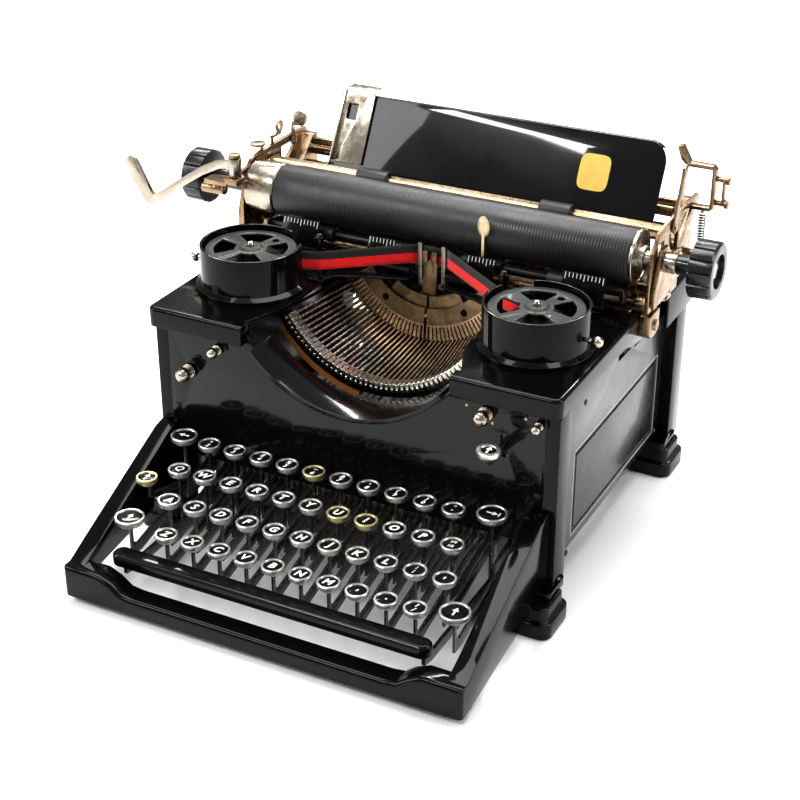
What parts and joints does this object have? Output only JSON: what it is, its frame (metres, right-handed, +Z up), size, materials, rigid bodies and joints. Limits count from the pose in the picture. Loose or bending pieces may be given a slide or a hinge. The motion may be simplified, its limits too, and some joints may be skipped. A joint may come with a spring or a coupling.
{
  "type": "desk typewriter",
  "caption": "Upright desk typewriter: cast frame, four banks of keys, slotted segment with a basket of typebars, two ribbon spools and a sliding carriage with platen and paper table",
  "frame": {"origin": "on the desk, midway between the four screw holes of the feet", "axes": "+X to the typist's right along the platen, +Y away from the typist, +Z up"},
  "size_m": [0.4205, 0.3634, 0.2457],
  "materials": {
    "black_japan": "gloss",
    "nickel": "polished",
    "bronze": "satin",
    "steel": "satin",
    "brass_segment": "satin",
    "black_steel": "semi-gloss",
    "foot_rubber": "matt",
    "platen_rubber": "matt",
    "key_glass": "gloss",
    "bar_wood": "gloss",
    "ribbon_cloth": "woven"
  },
  "bodies": {
    "machine": {"main_frame": "black_japan", "feet": "foot_rubber", "front_plate": "black_japan", "side_panels": "black_japan", "keyboard_surround": "black_japan", "top_cover": "black_japan", "rear_housing": "black_japan", "spool_cups": "black_japan", "front_fittings": "nickel", "ribbon_guides": "black_steel", "segment": "brass_segment", "typebars": "steel", "type_rest": "steel", "ribbon": "ribbon_cloth", "line_scales": "black_steel", "carriage_rails": "bronze", "lever_rods": "steel"},
    "carriage": {"carriage_truck": "bronze", "end_plates": "bronze", "end_fittings": "bronze", "paper_table": "black_japan"},
    "shift_body": {"shift_frame": "bronze"},
    "feed_body": {"feed_rollers": "platen_rubber"},
    "platen_body": {"platen": "platen_rubber", "platen_fittings": "nickel"},
    "side_guide_body": {"side_guide": "nickel"},
    "margin_left_body": {"margin_stop_left": "nickel"},
    "margin_right_body": {"margin_stop_right": "nickel"},
    "bail_body": {"paper_bail": "bronze"},
    "bail_roller_body": {"bail_rollers": "platen_rubber"},
    "return_lever_body": {"return_lever": "nickel"},
    "carriage_release_body": {"carriage_release": "nickel"},
    "paper_release_body": {"paper_release": "nickel"},
    "escape_body": {"escape_wheel": "steel"},
    "spool_left_body": {"spool_left": "black_steel"},
    "spool_right_body": {"spool_right": "black_steel"},
    "ribbon_carrier_body": {"ribbon_carrier": "nickel"},
    "typebar_h_body": {"typebar_h": "steel"},
    "selector_body": {"ribbon_selector": "nickel"},
    "margin_release_body": {"margin_release_key": "key_glass"},
    "space_bar_body": {"space_bar": "bar_wood"},
    "shift_keys_body": {"shift_keys": "key_glass"},
    "shift_lock_body": {"shift_lock": "key_glass"},
    "backspace_body": {"key_backspace": "key_glass"},
    "tabulator_body": {"key_tabulator": "key_glass"},
    "number_bank_body": {"key_bank_number": "key_glass"},
    "upper_bank_body": {"key_bank_upper": "key_glass"},
    "lower_bank_body": {"key_bank_lower": "key_glass"},
    "key_a_body": {"key_a": "key_glass"},
    "key_s_body": {"key_s": "key_glass"},
    "key_d_body": {"key_d": "key_glass"},
    "key_f_body": {"key_f": "key_glass"},
    "key_g_body": {"key_g": "key_glass"},
    "key_h_body": {"key_h": "key_glass"},
    "key_j_body": {"key_j": "key_glass"},
    "key_k_body": {"key_k": "key_glass"},
    "key_l_body": {"key_l": "key_glass"},
    "key_semicolon_body": {"key_semicolon": "key_glass"},
    "key_apostrophe_body": {"key_apostrophe": "key_glass"}
  },
  "joints": [
    {"name": "carriage_slide", "type": "slide", "parent": "machine", "child": "carriage", "axis": [1, 0, 0], "range_m": [-0.11, 0.095]},
    {"name": "shift_rise", "type": "slide", "parent": "carriage", "child": "shift_body", "axis": [0, 0, 1], "range_m": [0, 0.0065]},
    {"name": "platen_turn", "type": "hinge", "parent": "shift_body", "child": "platen_body", "pos_m": [0, 0.034, 0.188], "axis": [1, 0, 0], "continuous": true},
    {"name": "feed_roller_turn", "type": "hinge", "parent": "shift_body", "child": "feed_body", "pos_m": [0, 0.0256, 0.1662], "axis": [1, 0, 0], "continuous": true},
    {"name": "bail_swing", "type": "hinge", "parent": "shift_body", "child": "bail_body", "pos_m": [0, 0.0645, 0.181], "axis": [-1, 0, 0], "range_deg": [0, 25]},
    {"name": "bail_roller_turn", "type": "hinge", "parent": "bail_body", "child": "bail_roller_body", "pos_m": [0, 0.056, 0.19855], "axis": [1, 0, 0], "continuous": true},
    {"name": "return_lever_swing", "type": "hinge", "parent": "carriage", "child": "return_lever_body", "pos_m": [-0.144, 0.0065, 0.2098], "axis": [0, 0, 1], "range_deg": [0, 18], "stiffness_Nm_per_rad": 0.05, "springref_deg": -5.73},
    {"name": "carriage_release_press", "type": "hinge", "parent": "carriage", "child": "carriage_release_body", "pos_m": [-0.1446, 0.085, 0.203], "axis": [-1, 0, 0], "range_deg": [0, 10], "stiffness_Nm_per_rad": 0.1, "springref_deg": -5.73},
    {"name": "paper_release_swing", "type": "hinge", "parent": "carriage", "child": "paper_release_body", "pos_m": [0.1495, 0.054, 0.203], "axis": [-1, 0, 0], "range_deg": [0, 15]},
    {"name": "side_guide_slide", "type": "slide", "parent": "carriage", "child": "side_guide_body", "axis": [1, 0, 0], "range_m": [0, 0.19]},
    {"name": "margin_left_slide", "type": "slide", "parent": "carriage", "child": "margin_left_body", "axis": [1, 0, 0], "range_m": [-0.045, 0.05]},
    {"name": "margin_right_slide", "type": "slide", "parent": "carriage", "child": "margin_right_body", "axis": [1, 0, 0], "range_m": [-0.05, 0.045]},
    {"name": "escape_wheel_turn", "type": "hinge", "parent": "machine", "child": "escape_body", "pos_m": [0, 0.0766, 0.14], "axis": [0, 1, 0], "range_deg": [-655, 565]},
    {"name": "spool_left_turn", "type": "hinge", "parent": "machine", "child": "spool_left_body", "pos_m": [-0.1, -0.047, 0.165], "axis": [0, 0, 1], "continuous": true},
    {"name": "spool_right_turn", "type": "hinge", "parent": "machine", "child": "spool_right_body", "pos_m": [0.1, -0.047, 0.165], "axis": [0, 0, 1], "continuous": true},
    {"name": "key_a_press", "type": "hinge", "parent": "machine", "child": "key_a_body", "pos_m": [0, 0.1, 0.04], "axis": [1, 0, 0], "range_deg": [0, 2.59], "stiffness_Nm_per_rad": 1.5, "springref_deg": -4.58},
    {"name": "key_s_press", "type": "hinge", "parent": "machine", "child": "key_s_body", "pos_m": [0, 0.1, 0.04], "axis": [1, 0, 0], "range_deg": [0, 2.59], "stiffness_Nm_per_rad": 1.5, "springref_deg": -4.58},
    {"name": "key_d_press", "type": "hinge", "parent": "machine", "child": "key_d_body", "pos_m": [0, 0.1, 0.04], "axis": [1, 0, 0], "range_deg": [0, 2.59], "stiffness_Nm_per_rad": 1.5, "springref_deg": -4.58},
    {"name": "key_f_press", "type": "hinge", "parent": "machine", "child": "key_f_body", "pos_m": [0, 0.1, 0.04], "axis": [1, 0, 0], "range_deg": [0, 2.59], "stiffness_Nm_per_rad": 1.5, "springref_deg": -4.58},
    {"name": "key_g_press", "type": "hinge", "parent": "machine", "child": "key_g_body", "pos_m": [0, 0.1, 0.04], "axis": [1, 0, 0], "range_deg": [0, 2.59], "stiffness_Nm_per_rad": 1.5, "springref_deg": -4.58},
    {"name": "key_h_press", "type": "hinge", "parent": "machine", "child": "key_h_body", "pos_m": [0, 0.1, 0.04], "axis": [1, 0, 0], "range_deg": [0, 2.59], "stiffness_Nm_per_rad": 2.5, "springref_deg": -4.58},
    {"name": "key_j_press", "type": "hinge", "parent": "machine", "child": "key_j_body", "pos_m": [0, 0.1, 0.04], "axis": [1, 0, 0], "range_deg": [0, 2.59], "stiffness_Nm_per_rad": 1.5, "springref_deg": -4.58},
    {"name": "key_k_press", "type": "hinge", "parent": "machine", "child": "key_k_body", "pos_m": [0, 0.1, 0.04], "axis": [1, 0, 0], "range_deg": [0, 2.59], "stiffness_Nm_per_rad": 1.5, "springref_deg": -4.58},
    {"name": "key_l_press", "type": "hinge", "parent": "machine", "child": "key_l_body", "pos_m": [0, 0.1, 0.04], "axis": [1, 0, 0], "range_deg": [0, 2.59], "stiffness_Nm_per_rad": 1.5, "springref_deg": -4.58},
    {"name": "key_semicolon_press", "type": "hinge", "parent": "machine", "child": "key_semicolon_body", "pos_m": [0, 0.1, 0.04], "axis": [1, 0, 0], "range_deg": [0, 2.59], "stiffness_Nm_per_rad": 1.5, "springref_deg": -4.58},
    {"name": "key_apostrophe_press", "type": "hinge", "parent": "machine", "child": "key_apostrophe_body", "pos_m": [0, 0.1, 0.04], "axis": [1, 0, 0], "range_deg": [0, 2.59], "stiffness_Nm_per_rad": 1.5, "springref_deg": -4.58},
    {"name": "typebar_h_strike", "type": "hinge", "parent": "machine", "child": "typebar_h_body", "pos_m": [0.00161, 0.00591, 0.11281], "axis": [-0.9997, -0.0027, -0.0228], "range_deg": [0, 95.6]},
    {"name": "ribbon_rise", "type": "slide", "parent": "machine", "child": "ribbon_carrier_body", "axis": [0, 0, 1], "range_m": [0, 0.008]},
    {"name": "number_bank_press", "type": "hinge", "parent": "machine", "child": "number_bank_body", "pos_m": [0, 0.1, 0.04], "axis": [1, 0, 0], "range_deg": [0, 3.06], "stiffness_Nm_per_rad": 15, "springref_deg": -4.58},
    {"name": "upper_bank_press", "type": "hinge", "parent": "machine", "child": "upper_bank_body", "pos_m": [0, 0.1, 0.04], "axis": [1, 0, 0], "range_deg": [0, 2.8], "stiffness_Nm_per_rad": 15, "springref_deg": -4.58},
    {"name": "lower_bank_press", "type": "hinge", "parent": "machine", "child": "lower_bank_body", "pos_m": [0, 0.1, 0.04], "axis": [1, 0, 0], "range_deg": [0, 2.42], "stiffness_Nm_per_rad": 15, "springref_deg": -4.58},
    {"name": "backspace_press", "type": "hinge", "parent": "machine", "child": "backspace_body", "pos_m": [0, 0.1, 0.04], "axis": [1, 0, 0], "range_deg": [0, 3.06], "stiffness_Nm_per_rad": 1.8, "springref_deg": -4.58},
    {"name": "tabulator_press", "type": "hinge", "parent": "machine", "child": "tabulator_body", "pos_m": [0, 0.1, 0.04], "axis": [1, 0, 0], "range_deg": [0, 3.1], "stiffness_Nm_per_rad": 1.8, "springref_deg": -4.58},
    {"name": "shift_press", "type": "hinge", "parent": "machine", "child": "shift_keys_body", "pos_m": [0, 0.1, 0.04], "axis": [1, 0, 0], "range_deg": [0, 2.43], "stiffness_Nm_per_rad": 1.5, "springref_deg": -5.73},
    {"name": "shift_lock_press", "type": "hinge", "parent": "shift_keys_body", "child": "shift_lock_body", "pos_m": [-0.1135, -0.122, 0.0356], "axis": [1, 0, 0], "range_deg": [0, 8], "stiffness_Nm_per_rad": 0.3, "springref_deg": -11.46},
    {"name": "space_bar_press", "type": "hinge", "parent": "machine", "child": "space_bar_body", "pos_m": [0, -0.07, 0.0252], "axis": [1, 0, 0], "range_deg": [0, 4.5], "stiffness_Nm_per_rad": 3, "springref_deg": -4.58},
    {"name": "margin_release_press", "type": "hinge", "parent": "machine", "child": "margin_release_body", "pos_m": [0.105, -0.088, 0.113], "axis": [1, 0, 0], "range_deg": [0, 8], "stiffness_Nm_per_rad": 0.4, "springref_deg": -8.59},
    {"name": "selector_turn", "type": "hinge", "parent": "machine", "child": "selector_body", "pos_m": [0.093, -0.101, 0.132], "axis": [0, 1, 0], "range_deg": [0, 60]}
  ],
  "couplings": [
    {"joint": "escape_wheel_turn", "follows": "carriage_slide", "rad_per_m": 103.07},
    {"joint": "feed_roller_turn", "follows": "platen_turn", "ratio": -3.2},
    {"joint": "bail_roller_turn", "follows": "platen_turn", "ratio": -2.7077},
    {"joint": "spool_right_turn", "follows": "spool_left_turn", "ratio": 1.1765},
    {"joint": "typebar_h_strike", "follows": "key_h_press", "ratio": 36.901},
    {"joint": "ribbon_rise", "follows": "key_h_press", "m_per_rad": 0.17689},
    {"joint": "shift_press", "follows": "shift_rise", "rad_per_m": 6.529}
  ]
}
